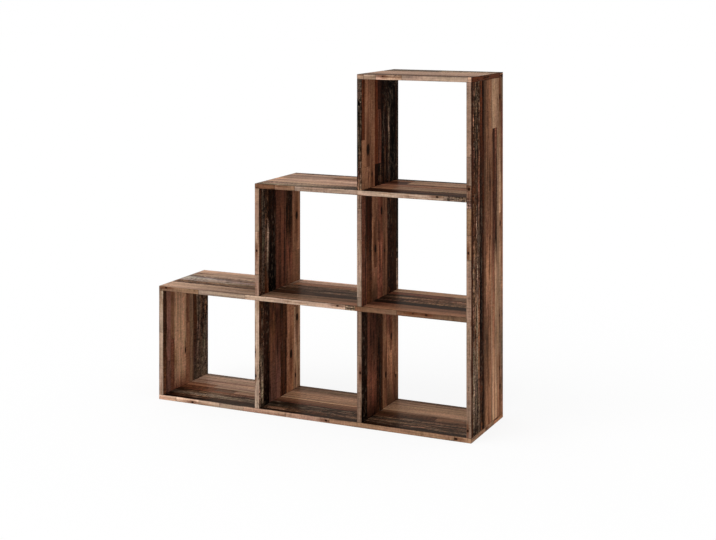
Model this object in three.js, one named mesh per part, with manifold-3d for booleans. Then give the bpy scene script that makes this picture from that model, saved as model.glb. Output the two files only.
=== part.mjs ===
// Staircase bookshelf of laminated boards: six open cube compartments in three columns that climb to the right.
// Lengths are millimetres. X runs to the right as seen from the front, Y to the back and Z up.
// The origin is the middle of the footprint, on the floor.
import * as THREE from "three";
import { mergeVertices } from "three/addons/utils/BufferGeometryUtils.js";
import Module from "manifold-3d";

const wasm = await Module();
wasm.setup();

// Outer sizes
const overallWidth = 1044;
const overallDepth = 330;
const overallHeight = 1080;
const boardThickness = 15;

// Rows of compartments from the floor up. Each row has one compartment fewer than the row below it.
const rowNames = ["lower", "middle", "top"];
// The boards that lie under, between and over those rows
const levelNames = ["bottom_board", "lower_shelf", "upper_shelf", "top_board"];
const rowCount = rowNames.length;

// Drilled holes. A cam sits in the face of one board and draws it, by a bolt, against the next board.
const camBoreDiameter = 15;
const camSetback = 24; // from the end of the board to the cam's middle
const boltHoleDiameter = 8;
const threadHoleDiameter = 5;
const dowelHoleDiameter = 8;
const blindHoleWall = 3; // board left behind a blind hole
const connectorInset = 50; // from the board's front and back edges to the cam connectors
const cutOverrun = 2; // by which a cut runs out past the face it starts from
const weldDistance = 0.0001; // within which two vertices are one

// Cam connectors
const fitGap = 0.3; // all round a fastener in its hole
const tipGap = 1; // between a fastener's end and the bottom of its hole
const collarHeight = 1.5;
const boltShankDiameter = 6;
const boltNeckDiameter = 4;
const boltNeckLength = 4;
const boltHeadDiameter = 6.4;
const boltHeadLength = 4;
const boltHeadReach = 1; // past the cam's middle, where the closed cam holds it
const boltTipChamfer = 0.8;
const driveSlotLength = 8;
const driveSlotWidth = 1.6;
const driveSlotDepth = 2.6;

// Wooden dowels
const shortDowelLength = 30;
const longDowelLength = 50;
const dowelChamfer = 1;

// Flats round a bolt, dowel or small hole, and round a cam or its bore
const pinSides = 8;
const camSides = 12;

const compartmentWidth = (overallWidth - boardThickness * (rowCount + 1)) / rowCount;
const compartmentHeight = (overallHeight - boardThickness * (rowCount + 1)) / rowCount;
const leftFace = -overallWidth / 2;
const rightFace = overallWidth / 2;
const frontFace = -overallDepth / 2;
const backFace = overallDepth / 2;
const halfThickness = boardThickness / 2;
const blindHoleDepth = boardThickness - blindHoleWall;
const threadLength = blindHoleDepth - tipGap;
const dowelFaceReach = blindHoleDepth - tipGap;
const connectorOffset = overallDepth / 2 - connectorInset;

const laminate = new THREE.MeshStandardMaterial({ color: 0x9c6e54, roughness: 0.62, metalness: 0 });
const zinc = new THREE.MeshStandardMaterial({ color: 0xb9bab6, roughness: 0.38, metalness: 0.9 });
const beech = new THREE.MeshStandardMaterial({ color: 0xd8b486, roughness: 0.75, metalness: 0 });

// The left face of the upright in a column, and the underside of the board at a level
const columnLeft = (column) => leftFace + column * (compartmentWidth + boardThickness);
const levelBottom = (level) => level * (compartmentHeight + boardThickness);
// The column whose upright a board's left end covers
const firstColumn = (level) => Math.max(level - 1, 0);

function solidOf(geometry, matrix = new THREE.Matrix4()) {
  const bare = geometry.clone().applyMatrix4(matrix);
  bare.deleteAttribute("normal");
  bare.deleteAttribute("uv");
  const merged = mergeVertices(bare, weldDistance);
  return new wasm.Manifold(
    new wasm.Mesh({
      numProp: 3,
      vertProperties: new Float32Array(merged.attributes.position.array),
      triVerts: new Uint32Array(merged.index.array),
    }),
  );
}

function geometryOf(solid) {
  const mesh = solid.getMesh();
  const geometry = new THREE.BufferGeometry();
  geometry.setAttribute("position", new THREE.BufferAttribute(mesh.vertProperties, 3));
  geometry.setIndex(new THREE.BufferAttribute(mesh.triVerts, 1));
  geometry.computeVertexNormals();
  return geometry;
}

// A box between two corners
function boxBetween(low, high) {
  const size = high.clone().sub(low);
  const middle = low.clone().add(high).divideScalar(2);
  return new THREE.BoxGeometry(size.x, size.y, size.z).translate(middle.x, middle.y, middle.z);
}

// A round bar along Z, between two heights and off to one side in Y
function barAlongZ(diameter, bottom, top, offset = 0) {
  const bar = new THREE.CylinderGeometry(diameter / 2, diameter / 2, top - bottom, pinSides);
  return bar.rotateX(Math.PI / 2).translate(0, offset, (bottom + top) / 2);
}

// A round disc along X, at the cam's height above the end of its board
function discAlongX(diameter, near, far, offset = 0) {
  const disc = new THREE.CylinderGeometry(diameter / 2, diameter / 2, far - near, camSides);
  return disc.rotateZ(Math.PI / 2).translate((near + far) / 2, offset, camSetback);
}

// A body of revolution round Z from pairs of radius and height, listed from the bottom up
function turned(profile) {
  const points = profile.map(([radius, height]) => new THREE.Vector2(radius, height));
  return new THREE.LatheGeometry(points, pinSides).rotateX(Math.PI / 2);
}

// Every fastener and hole is drawn in its joint's own frame: Z = 0 is where the boards meet, +Z runs into the board
// whose end is drilled, and -X looks out of the face that the cam is set in.
function holesInEnd(dowelReach) {
  const holes = [-connectorOffset, connectorOffset].flatMap((offset) => [
    discAlongX(camBoreDiameter, -halfThickness - cutOverrun, blindHoleDepth - halfThickness, offset),
    barAlongZ(boltHoleDiameter, -cutOverrun, camSetback, offset),
  ]);
  holes.push(barAlongZ(dowelHoleDiameter, -cutOverrun, dowelReach + tipGap));
  return holes;
}

function holesInFace(depth, boltDiameter) {
  return [
    barAlongZ(boltDiameter, -depth, cutOverrun, -connectorOffset),
    barAlongZ(dowelHoleDiameter, -depth, cutOverrun),
    barAlongZ(boltDiameter, -depth, cutOverrun, connectorOffset),
  ];
}

// The cam: a disc with a slot for the screwdriver and a mouth that takes the bolt's head from the side
function camSolid() {
  const outerFace = -halfThickness;
  const camDiameter = camBoreDiameter - fitGap * 2;
  const mouthHalf = boltHeadDiameter / 2 + fitGap;
  const mouthStart = camSetback - camDiameter / 2 - cutOverrun;
  const mouth = boxBetween(
    new THREE.Vector3(-mouthHalf, -mouthHalf, mouthStart),
    new THREE.Vector3(mouthHalf, mouthHalf, camSetback),
  );
  const driveSlot = boxBetween(
    new THREE.Vector3(outerFace - cutOverrun, -driveSlotLength / 2, camSetback - driveSlotWidth / 2),
    new THREE.Vector3(outerFace + driveSlotDepth, driveSlotLength / 2, camSetback + driveSlotWidth / 2),
  );
  const disc = solidOf(discAlongX(camDiameter, outerFace, outerFace + blindHoleDepth - fitGap));
  return disc.subtract(solidOf(mouth)).subtract(solidOf(driveSlot));
}

// The end of the bolt that the cam holds: shank, neck and head
function boltEndProfile() {
  const headTop = camSetback + boltHeadReach;
  const headBottom = headTop - boltHeadLength;
  const neckBottom = headBottom - boltNeckLength;
  return [
    [boltShankDiameter / 2, neckBottom],
    [boltNeckDiameter / 2, neckBottom],
    [boltNeckDiameter / 2, headBottom],
    [boltHeadDiameter / 2, headBottom],
    [boltHeadDiameter / 2, headTop],
    [0, headTop],
  ];
}

// A bolt screwed into the face of the next board up to its collar
function singleBolt() {
  const threadRadius = threadHoleDiameter / 2 - fitGap;
  const collarRadius = boltHoleDiameter / 2 - fitGap;
  const collarTop = fitGap + collarHeight;
  return turned([
    [0, -threadLength],
    [threadRadius - boltTipChamfer, -threadLength],
    [threadRadius, boltTipChamfer - threadLength],
    [threadRadius, fitGap],
    [collarRadius, fitGap],
    [collarRadius, collarTop],
    [boltShankDiameter / 2, collarTop],
    ...boltEndProfile(),
  ]);
}

// A bolt that passes through a shelf and has a head in a cam on both sides of it
function doubleBolt() {
  const upper = boltEndProfile();
  const lower = upper.map(([radius, height]) => [radius, -boardThickness - height]).reverse();
  return turned([...lower, ...upper]);
}

// Turns the frame above a shelf's top face into the frame below its underside
function belowShelf() {
  const flip = new THREE.Matrix4().makeRotationX(Math.PI);
  return new THREE.Matrix4().makeTranslation(0, 0, -boardThickness).multiply(flip);
}

const singleConnector = geometryOf(camSolid().add(solidOf(singleBolt())));
const doubleConnector = geometryOf(
  camSolid()
    .add(solidOf(geometryOf(camSolid()), belowShelf()))
    .add(solidOf(doubleBolt())),
);

function dowelGeometry(bottom, top) {
  const radius = dowelHoleDiameter / 2 - fitGap;
  return turned([
    [0, bottom],
    [radius - dowelChamfer, bottom],
    [radius, bottom + dowelChamfer],
    [radius, top - dowelChamfer],
    [radius - dowelChamfer, top],
    [0, top],
  ]);
}

const shortDowelReach = shortDowelLength - dowelFaceReach;
const longDowelReach = (longDowelLength - boardThickness) / 2;
const shortDowel = dowelGeometry(-dowelFaceReach, shortDowelReach);
const longDowel = dowelGeometry(-boardThickness - longDowelReach, longDowelReach);

// Boards by name, each with its two corners and the holes to be drilled in it
const boards = new Map();

function addBoard(name, left, right, bottom, top) {
  const low = new THREE.Vector3(left, frontFace, bottom);
  const high = new THREE.Vector3(right, backFace, top);
  boards.set(name, { low, high, holes: [] });
  return name;
}

function drill(boardName, holes, frame) {
  const board = boards.get(boardName);
  holes.forEach((hole) => board.holes.push(solidOf(hole, frame)));
}

// The bottom and top boards run on over the right side panel, and the shelves stop against it.
function addLevelBoards() {
  levelNames.forEach((name, level) => {
    const isOuter = level === 0 || level === rowCount;
    const right = isOuter ? rightFace : columnLeft(rowCount);
    const bottom = levelBottom(level);
    addBoard(name, columnLeft(firstColumn(level)), right, bottom, bottom + boardThickness);
  });
}

const uprightName = (row, column) =>
  column === row ? `${rowNames[row]}_row_left_panel` : `${rowNames[row]}_row_divider_${column - row}`;

function addUprights() {
  rowNames.forEach((_, row) => {
    for (let column = row; column < rowCount; column += 1) {
      const left = columnLeft(column);
      const bottom = levelBottom(row) + boardThickness;
      addBoard(uprightName(row, column), left, left + boardThickness, bottom, levelBottom(row + 1));
    }
  });
  addBoard("right_side_panel", columnLeft(rowCount), rightFace, boardThickness, levelBottom(rowCount));
}

const shelf = new THREE.Group();
shelf.name = "staircase_bookshelf";

// The ways a joint's frame is turned
const upright = new THREE.Euler();
const turnedOver = new THREE.Euler(Math.PI, 0, 0);
const towardsLeft = new THREE.Euler(0, -Math.PI / 2, 0);

// A joint's own frame, with its fasteners in it
function jointGroup(name, x, z, turn, connector, connectorName, dowel, dowelName) {
  const joint = new THREE.Group();
  joint.position.set(x, 0, z);
  joint.rotation.copy(turn);
  [
    ["front", -connectorOffset],
    ["back", connectorOffset],
  ].forEach(([side, offset]) => {
    const piece = new THREE.Mesh(connector, zinc);
    piece.name = `${connectorName}_${name}_${side}`;
    // A head joint is turned over, which swaps its front and back.
    piece.position.y = turn.x ? -offset : offset;
    joint.add(piece);
  });
  const pin = new THREE.Mesh(dowel, beech);
  pin.name = `${dowelName}_${name}`;
  joint.add(pin);
  shelf.add(joint);
  joint.updateMatrixWorld(true);
  return joint.matrixWorld;
}

// One board's end drawn against the face of another
function addEndJoint(name, endBoard, faceBoard, x, z, turn) {
  const frame = jointGroup(name, x, z, turn, singleConnector, "cam_connector", shortDowel, "dowel");
  drill(endBoard, holesInEnd(shortDowelReach), frame);
  drill(faceBoard, holesInFace(blindHoleDepth, threadHoleDiameter), frame);
}

// Two uprights in line, drawn together through the shelf between them
function addCrossing(name, upperBoard, shelfBoard, lowerBoard, x, z) {
  const frame = jointGroup(
    name, x, z, upright, doubleConnector, "double_cam_connector", longDowel, "through_dowel",
  );
  drill(upperBoard, holesInEnd(longDowelReach), frame);
  drill(lowerBoard, holesInEnd(longDowelReach), frame.clone().multiply(belowShelf()));
  drill(shelfBoard, holesInFace(boardThickness + cutOverrun, boltHoleDiameter), frame);
}

// Joints at one level, from the left: a head joint where only a lower upright meets the board, a foot joint where
// only an upper one does, and a crossing where both do
function addLevelJoints(level) {
  const board = levelNames[level];
  const bottom = levelBottom(level);
  const top = bottom + boardThickness;
  for (let column = firstColumn(level); column < rowCount; column += 1) {
    const x = columnLeft(column) + halfThickness;
    const hasLower = level > 0;
    const hasUpper = level < rowCount && column >= level;
    if (hasLower && hasUpper) {
      const upper = uprightName(level, column);
      const lower = uprightName(level - 1, column);
      addCrossing(`${board}_crossing_${column - level + 1}`, upper, board, lower, x, top);
    } else if (hasUpper) {
      const name = uprightName(level, column);
      addEndJoint(`foot_of_${name}`, name, board, x, top, upright);
    } else {
      const name = uprightName(level - 1, column);
      addEndJoint(`head_of_${name}`, name, board, x, bottom, turnedOver);
    }
  }
}

function addSidePanelJoints() {
  const side = "right_side_panel";
  const x = columnLeft(rowCount) + halfThickness;
  addEndJoint(`foot_of_${side}`, side, levelNames[0], x, boardThickness, upright);
  addEndJoint(`head_of_${side}`, side, levelNames[rowCount], x, levelBottom(rowCount), turnedOver);
  for (let level = 1; level < rowCount; level += 1) {
    const name = levelNames[level];
    const z = levelBottom(level) + halfThickness;
    addEndJoint(`right_end_of_${name}`, name, side, columnLeft(rowCount), z, towardsLeft);
  }
}

function addBoardMeshes() {
  boards.forEach(({ low, high, holes }, name) => {
    const blank = solidOf(boxBetween(low, high));
    const drilled = holes.reduce((board, hole) => board.subtract(hole), blank);
    const mesh = new THREE.Mesh(geometryOf(drilled), laminate);
    mesh.name = name;
    shelf.add(mesh);
  });
}

addLevelBoards();
addUprights();
levelNames.forEach((_, level) => addLevelJoints(level));
addSidePanelJoints();
addBoardMeshes();

export default shelf;
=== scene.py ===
import math
import bpy
import numpy as np
from mathutils import Matrix, Vector


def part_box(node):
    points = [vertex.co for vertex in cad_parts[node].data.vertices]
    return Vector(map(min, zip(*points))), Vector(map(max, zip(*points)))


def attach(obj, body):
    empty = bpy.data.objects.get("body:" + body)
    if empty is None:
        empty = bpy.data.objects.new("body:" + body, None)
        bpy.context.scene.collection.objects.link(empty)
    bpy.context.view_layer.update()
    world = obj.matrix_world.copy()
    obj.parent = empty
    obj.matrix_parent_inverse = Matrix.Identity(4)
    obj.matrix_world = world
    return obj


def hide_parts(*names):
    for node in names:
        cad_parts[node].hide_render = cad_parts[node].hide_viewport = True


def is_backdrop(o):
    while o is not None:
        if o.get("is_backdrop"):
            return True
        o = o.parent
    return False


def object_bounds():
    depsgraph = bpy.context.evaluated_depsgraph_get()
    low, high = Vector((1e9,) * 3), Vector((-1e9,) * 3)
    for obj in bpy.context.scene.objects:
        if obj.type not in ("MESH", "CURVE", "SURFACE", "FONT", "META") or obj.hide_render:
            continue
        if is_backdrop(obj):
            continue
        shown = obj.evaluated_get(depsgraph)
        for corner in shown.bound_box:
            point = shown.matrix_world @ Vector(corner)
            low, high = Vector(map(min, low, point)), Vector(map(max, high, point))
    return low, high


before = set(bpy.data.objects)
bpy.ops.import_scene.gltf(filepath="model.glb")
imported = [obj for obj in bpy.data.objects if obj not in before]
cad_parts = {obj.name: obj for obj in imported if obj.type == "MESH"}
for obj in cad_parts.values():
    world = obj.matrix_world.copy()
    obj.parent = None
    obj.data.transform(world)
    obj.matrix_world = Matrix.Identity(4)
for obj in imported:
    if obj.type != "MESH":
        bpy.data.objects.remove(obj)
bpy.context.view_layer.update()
print("frame loaded,", len(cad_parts), "nodes")


# a small helper for node trees
class Reading:
    # one output socket; arithmetic on it adds Math nodes
    def __init__(self, nodes, socket):
        self.nodes, self.socket = nodes, socket

    def maths(self, operation, *values):
        return self.nodes.add("Math", dict(enumerate(values)), operation=operation)

    def __add__(self, other): return self.maths("ADD", self, other)
    def __radd__(self, other): return self.maths("ADD", other, self)
    def __sub__(self, other): return self.maths("SUBTRACT", self, other)
    def __rsub__(self, other): return self.maths("SUBTRACT", other, self)
    def __mul__(self, other): return self.maths("MULTIPLY", self, other)
    def __rmul__(self, other): return self.maths("MULTIPLY", other, self)
    def __truediv__(self, other): return self.maths("DIVIDE", self, other)
    def __pow__(self, other): return self.maths("POWER", self, other)
    def least(self, other): return self.maths("MINIMUM", self, other)
    def most(self, other): return self.maths("MAXIMUM", self, other)
    def sine(self): return self.maths("SINE", self)
    def absolute(self): return self.maths("ABSOLUTE", self)


class Nodes:
    # a node tree that is built from expressions
    def __init__(self, tree):
        self.tree = tree
        tree.nodes.clear()

    def add(self, kind, sockets=None, output=0, **settings):
        made = self.tree.nodes.new("ShaderNode" + kind)
        for name, value in settings.items():
            setattr(made, name, value)
        for name, value in (sockets or {}).items():
            if isinstance(value, Reading):
                self.tree.links.new(value.socket, made.inputs[name])
            else:
                made.inputs[name].default_value = value
        return Reading(self, made.outputs[output])

    def show(self, shader, output="OutputMaterial"):
        self.tree.links.new(shader.socket, self.tree.nodes.new("ShaderNode" + output).inputs[0])

    def split(self, vector):
        made = self.add("SeparateXYZ", {0: vector}).socket.node
        return [Reading(self, socket) for socket in made.outputs]

    def join(self, x, y, z):
        return self.add("CombineXYZ", {0: x, 1: y, 2: z})

    def multiply(self, vector, factors):
        return self.add("VectorMath", {0: vector, 1: factors}, operation="MULTIPLY")

    def scale(self, colour, value):
        return self.add("VectorMath", {0: colour, "Scale": value}, operation="SCALE")

    def noise(self, vector, detail=2.0, roughness=0.55):
        sockets = {"Vector": vector, "Scale": 1.0, "Detail": detail, "Roughness": roughness}
        return self.add("TexNoise", sockets)

    def rise(self, value, low, high):
        # 0 below low, 1 above high, a smooth slope between them
        sockets = {"Value": value, "From Min": low, "From Max": high}
        return self.add("MapRange", sockets, interpolation_type="SMOOTHSTEP")

    def mix(self, factor, first, second, blend="MIX"):
        sockets = {0: factor, 6: first, 7: second}
        return self.add("Mix", sockets, 2, data_type="RGBA", blend_type=blend)

    def mixShader(self, factor, first, second):
        return self.add("MixShader", {0: factor, 1: first, 2: second})

    def relief(self, height, strength, distance):
        sockets = {"Strength": strength, "Distance": distance, "Height": height}
        return self.add("Bump", sockets)


def newFinish(name):
    # an empty material and its node tree
    material = bpy.data.materials.new(name)
    material.use_nodes = True
    return material, Nodes(material.node_tree)


def putInScene(name, data):
    thing = bpy.data.objects.new(name, data)
    bpy.context.scene.collection.objects.link(thing)
    return thing


def linear(colour, shade=1.0):
    # a screen colour of 0 to 255 as linear light, times shade
    part = np.asarray(colour, float) / 255
    return np.where(part <= 0.04045, part / 12.92, ((part + 0.055) / 1.055) ** 2.4) * shade


def tint(colour, shade=1.0):
    # the same with an alpha of 1, for a socket
    return (*linear(colour, shade), 1.0)


# camera: a level view camera whose film stays upright
cameraView = {
    "place": (1.931973, -4.752252, 1.356367),
    "turn": 28.998,  # degrees to the left of straight ahead
    "frame": (716, 540),  # the picture's pixels
    "focal": 1592.558,  # distance from lens to film, in pixels
    "ahead": (135.356, -16.254),  # the pixel straight ahead of the lens
    "film": 36.0,  # its width in mm
    "reach": (0.1, 100),  # nearest and farthest that it sees
}


def makeCamera(view):
    turn = math.radians(view["turn"])
    ahead = Vector((-math.sin(turn), math.cos(turn), 0))
    right = Vector((math.cos(turn), math.sin(turn), 0))
    up = Vector((0, 0, 1))
    middle = Vector(view["frame"]) / 2
    aside = (middle.x - view["ahead"][0]) / view["focal"]
    below = (middle.y - view["ahead"][1]) / view["focal"]
    axis = ahead + right * aside - up * below  # from the lens to the picture's centre
    film = Matrix((right, up, -axis.normalized())).transposed().to_4x4()
    film.translation = Vector(view["place"])
    data = bpy.data.cameras.new("photoCamera")
    data.sensor_width = view["film"]
    data.lens = view["focal"] * axis.length / view["frame"][0] * view["film"]
    data.clip_start, data.clip_end = view["reach"]
    stand = putInScene("cameraStand", None)
    camera = putInScene("photoCamera", data)
    camera.parent = stand
    camera.matrix_parent_inverse = film  # carries the slant of the film against the view
    bpy.context.scene.camera = camera


makeCamera(cameraView)
print("camera made")

# studio: white room, soft light
studio = {
    "white": (1, 1, 1, 1),
    "whiteLight": 1.0,  # what the camera sees of the room
    "sky": 0.74,  # light of the white room on dull surfaces
    "sun": 1.5,
    "sunFrom": (-0.25, -0.9, 0.85),  # from the front and above, a little to the left
    "sunWidth": 60,  # degrees; a wide sun has soft shadows
    "floor": (0.95, 0.95, 0.95, 1),
    "floorReach": 30.0,
    "floorFade": 0.85,  # how much of the floor's own shade the camera doesn't see
    "floorDrop": 0.0003,
}


def makeStudio(setup):
    world = bpy.data.worlds.new("whiteRoom")
    world.use_nodes = True
    bpy.context.scene.world = world
    nodes = Nodes(world.node_tree)
    path = nodes.add("LightPath").socket.node.outputs
    toCamera, toGloss, throughGlass = (
        Reading(nodes, path[name]) for name in ("Is Camera Ray", "Is Glossy Ray", "Is Transmission Ray"))
    white, soft = (nodes.add("Background", {0: setup["white"], 1: setup[light]})
                   for light in ("whiteLight", "sky"))
    bright = toCamera.most(toGloss).most(throughGlass)
    nodes.show(nodes.mixShader(bright, soft, white), "OutputWorld")

    lamp = bpy.data.lights.new("softSun", "SUN")
    lamp.energy, lamp.angle = setup["sun"], math.radians(setup["sunWidth"])
    sun = putInScene("softSun", lamp)
    sun.rotation_euler = Vector(setup["sunFrom"]).to_track_quat("Z", "Y").to_euler()

    reach, drop = setup["floorReach"], -setup["floorDrop"]
    signs = ((-1, -1), (1, -1), (1, 1), (-1, 1))
    mesh = bpy.data.meshes.new("floor")
    mesh.from_pydata([(x * reach, y * reach, drop) for x, y in signs], [], [(0, 1, 2, 3)])
    floor = putInScene("floor", mesh)
    paper, nodes = newFinish("whitePaper")
    fade = nodes.add("LightPath", None, "Is Camera Ray") * setup["floorFade"]
    matt = nodes.add("BsdfDiffuse", {0: setup["floor"]})
    glow = nodes.add("Emission", {0: setup["white"], 1: setup["whiteLight"]})
    nodes.show(nodes.mixShader(fade, matt, glow))
    mesh.materials.append(paper)
    floor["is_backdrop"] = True


makeStudio(studio)
bpy.context.scene.view_settings.view_transform = "Standard"
print("studio made")

# the printed planks' finish
plankFinish = {
    # for sound wood and for old wood
    "broadShare": (0.45, 0.25),  # what the broad streaks give to the pattern
    "fleckShare": (0.25, 0.45),
    "grit": (0.6, 2.6),  # short flecks
    "sawn": (0.22, 3.2),  # marks of the saw across the grain
    "lines": (0.9, 1.4),  # long lines along the grain
    "redGreen": (0.14, 0.52),  # patches that lean to red or green
    "blueYellow": (0.20, 0.70),
    "crackShow": (0.15, 1.0),
    "roughness": (0.45, 0.55),
    # how strong a dark mark is, and how much light is left in it
    "bands": (0.34, 0.5),  # growth rings
    "cracks": (0.9, 0.2),
    "pits": (0.75, 0.3),  # small dark marks
    "nicks": (0.75, 0.25),  # small dark marks of old wood
    # from where it begins to where it is full
    "pitPatches": (0.48, 0.6),
    "chalkStreaks": (0.44, 0.6),
    "warmFrom": (0.45, 0.65),
    "oldFrom": (0.4, 1.0),  # the age of specks and nicks
    # the rest
    "wave": (1.7, 5, 0.018),  # bends of the grain to the metre along and across, and their size
    "thinShare": 0.3,
    "secondShare": 0.25,  # what a sort's share of its second colour adds to it
    "streakEdge": 0.045,  # how softly the second colour begins
    "mottle": 0.6,  # changes of tone along a plank
    "cloud": 0.5,  # darker and lighter blotches
    "stain": 0.6,
    "fibre": 0.8,
    "darkest": 0.1,  # the least light left
    "greenShare": 0.6,  # of the swing to red
    "warmth": 0.08,  # redder patches of sound wood
    "warmTint": (1.14, 0.88, 0.72, 1),
    "chalk": 0.85,  # pale flecks of old wood
    "specks": 0.60,  # small pale specks of old wood
    "chalkColour": tint((157, 134, 112)),
    "bite": (9, 14, 6.0, 0.72, 6),  # of a worn border: to the metre, detail, roughness, depth
    "raggedMost": 0.005,  # how far a worn border wanders
    "borderSoft": 0.0003,
    "seamDark": 0.6,  # the line between two planks
    "seamWidth": (0.0002, 0.0013),  # of its core, and with its soft side
    "seamLoss": 1.4,  # the most worn border loses 1 / this of its line
    "roughnessSwing": 0.16,
    "gloss": 0.0012,
    "lacquerBend": 1.5,  # refraction of the satin lacquer on the shelf faces
    "lacquerRoughness": 0.3,
    "lacquerColour": (1.0, 0.76, 0.58, 1),
    "relief": (0.6, 0.0003),  # strength and height
    "heights": {"fine": 0.35, "bands": 0.25, "pits": 0.5, "seam": 0.9, "heart": 0.4},
}

# Noises drawn out along the grain: features to the metre along and across, shift of the seed, detail,
# roughness, and for marks with edges the readings between which they begin.
printMarks = {
    "broad": (2.4, 42, 0, 3, 0.55),
    "thin": (7, 190, 7.7, 3, 0.6),
    "fine": (26, 700, 23.1, 2, 0.55),
    "patches": (13, 32, 31.7, 4, 0.6),
    "stain": (3.1, 11, 37.3, 2, 0.55),
    "cloud": (20, 42, 83.9, 3, 0.55),
    "grit": (200, 100, 97.1, 2, 0.6),
    "sawn": (240, 30, 103.7, 2, 0.6),
    "flecks": (21, 95, 61.3, 5, 0.72),
    "lines": (2.2, 78, 171.1, 2, 0.55),
    "redGreen": (14, 34, 113.1, 3, 0.55),
    "blueYellow": (18, 28, 127.9, 3, 0.55),
    "bands": (1.3, 160, 11.3, 3, 0.55, 0.47, 0.60),
    "cracks": (5, 210, 41.9, 3, 0.6, 0.56, 0.61),
    "pits": (75, 170, 71.9, 2, 0.55, 0.62, 0.68),
    "chalk": (15, 130, 53.3, 6, 0.8, 0.55, 0.66),
    "specks": (75, 135, 141.7, 3, 0.65, 0.53, 0.62),
    "crowds": (9, 44, 163.9, 3, 0.55, 0.42, 0.58),
    "nicks": (85, 125, 151.3, 3, 0.65, 0.52, 0.62),
}
knotLook = {
    "shape": 0.7,  # a knot is 1 / this times as long along the grain as across it
    "push": (0.8, 0.3),  # how far the grain parts round it, and how softly
    "ragged": (1.1, 0.7),  # what patches and thin streaks do to its rim
    "heart": (0.65, 1.0),  # the dark heart fades between these shares of the radius
    "heartShare": 0.95,
    "rings": (16, 0.25),  # how close they are and how dark
    "colour": linear((40, 23, 14)),
    "trailShape": 0.16,  # the reddish halo is 1 / this times as long as it is wide
    "trailRagged": 1.6,
    "halo": (0.5, 1.9),
    "haloShare": 0.7,
    "haloColour": tint((86, 46, 27)),
}


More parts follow.
